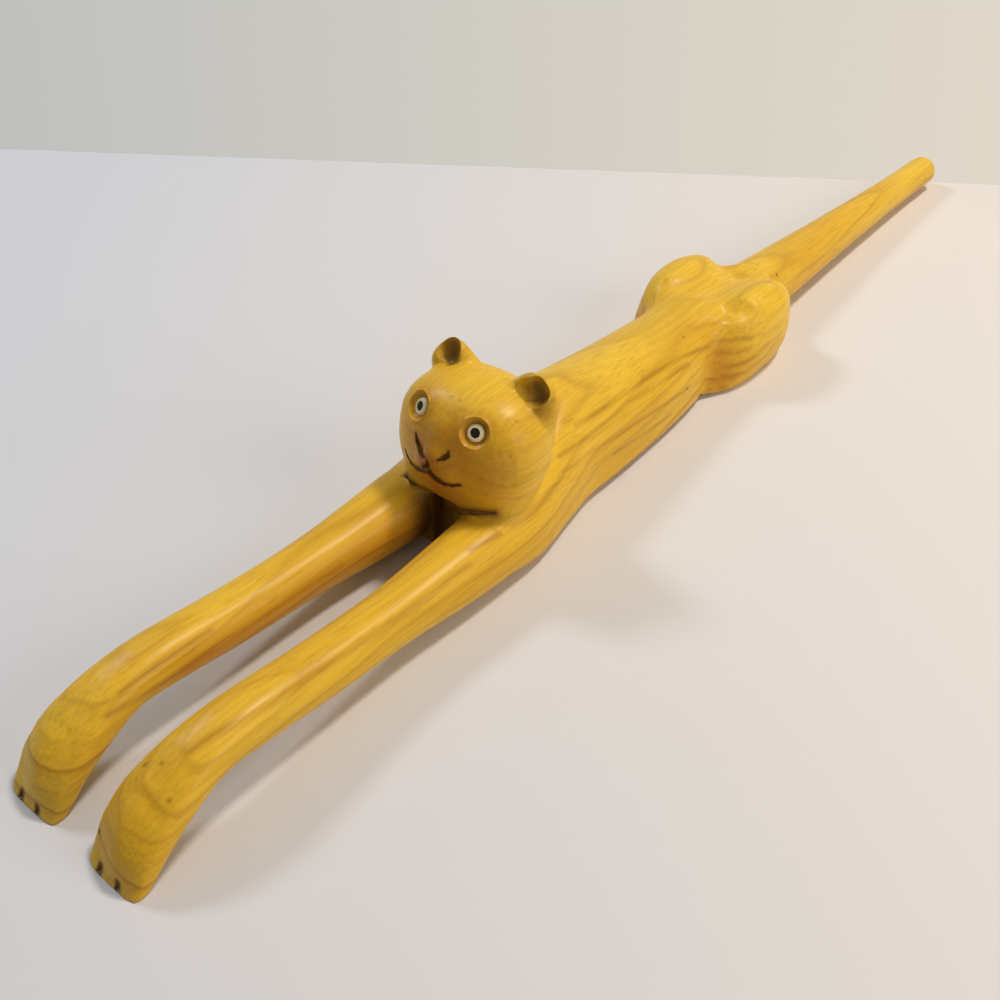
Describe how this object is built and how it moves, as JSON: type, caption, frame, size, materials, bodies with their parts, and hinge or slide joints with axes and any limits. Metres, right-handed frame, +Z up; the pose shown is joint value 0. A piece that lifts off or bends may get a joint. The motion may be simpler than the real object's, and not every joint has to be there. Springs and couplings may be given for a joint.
{
  "type": "back scratcher",
  "caption": "Carved wooden cat lying stretched out: bent forepaws are the rake, the body is the grip and the tapering tail is the handle.",
  "frame": {"origin": "on the table under the middle of the outline's box", "axes": "+Y towards the tail's end along the cat, so the face looks along -Y; +X to the cat's left; +Z up from the table"},
  "size_m": [0.0506, 0.4582, 0.056],
  "materials": {
    "pine": "golden pine under a satin varnish",
    "bone": "cream, bone-like, slightly polished",
    "black": "glossy black",
    "beech": "bare beech dowel"
  },
  "bodies": {
    "root": {"torso": "pine", "head": "pine", "left_foreleg": "pine", "right_foreleg": "pine", "left_haunch": "pine", "right_haunch": "pine", "tail_handle": "pine", "left_eye": "bone", "right_eye": "bone", "left_pupil": "black", "right_pupil": "black", "neck_dowel": "beech", "left_shoulder_dowel": "beech", "right_shoulder_dowel": "beech", "front_hip_dowel": "beech", "rear_hip_dowel": "beech"}
  },
  "joints": []
}
